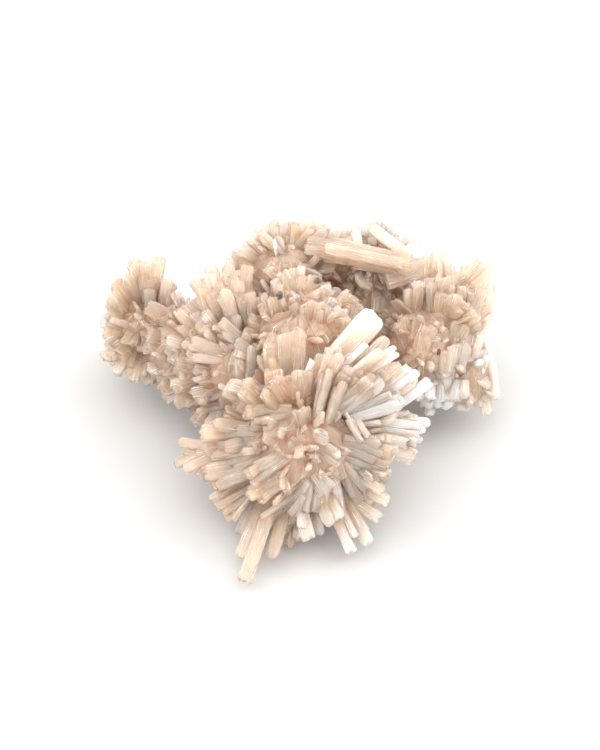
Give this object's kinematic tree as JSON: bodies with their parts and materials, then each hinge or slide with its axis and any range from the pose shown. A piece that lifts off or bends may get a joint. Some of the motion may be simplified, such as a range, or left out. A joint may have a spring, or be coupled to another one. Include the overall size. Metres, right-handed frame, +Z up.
{
  "type": "selenite cluster",
  "caption": "Cluster of peach selenite: flat-faced bladed crystals radiate from several middles grown together, with a small flat broken spot underneath to rest on.",
  "frame": {"origin": "on the table, under the middle of the cluster's box", "axes": "+Z up; +X along the cluster's width, to the right of someone who faces its large front spray; +Y away from them"},
  "size_m": [0.1028, 0.0982, 0.0443],
  "materials": {
    "selenite": "translucent, silky to glassy"
  },
  "bodies": {
    "root": {"selenite_cluster": "selenite"}
  },
  "joints": []
}
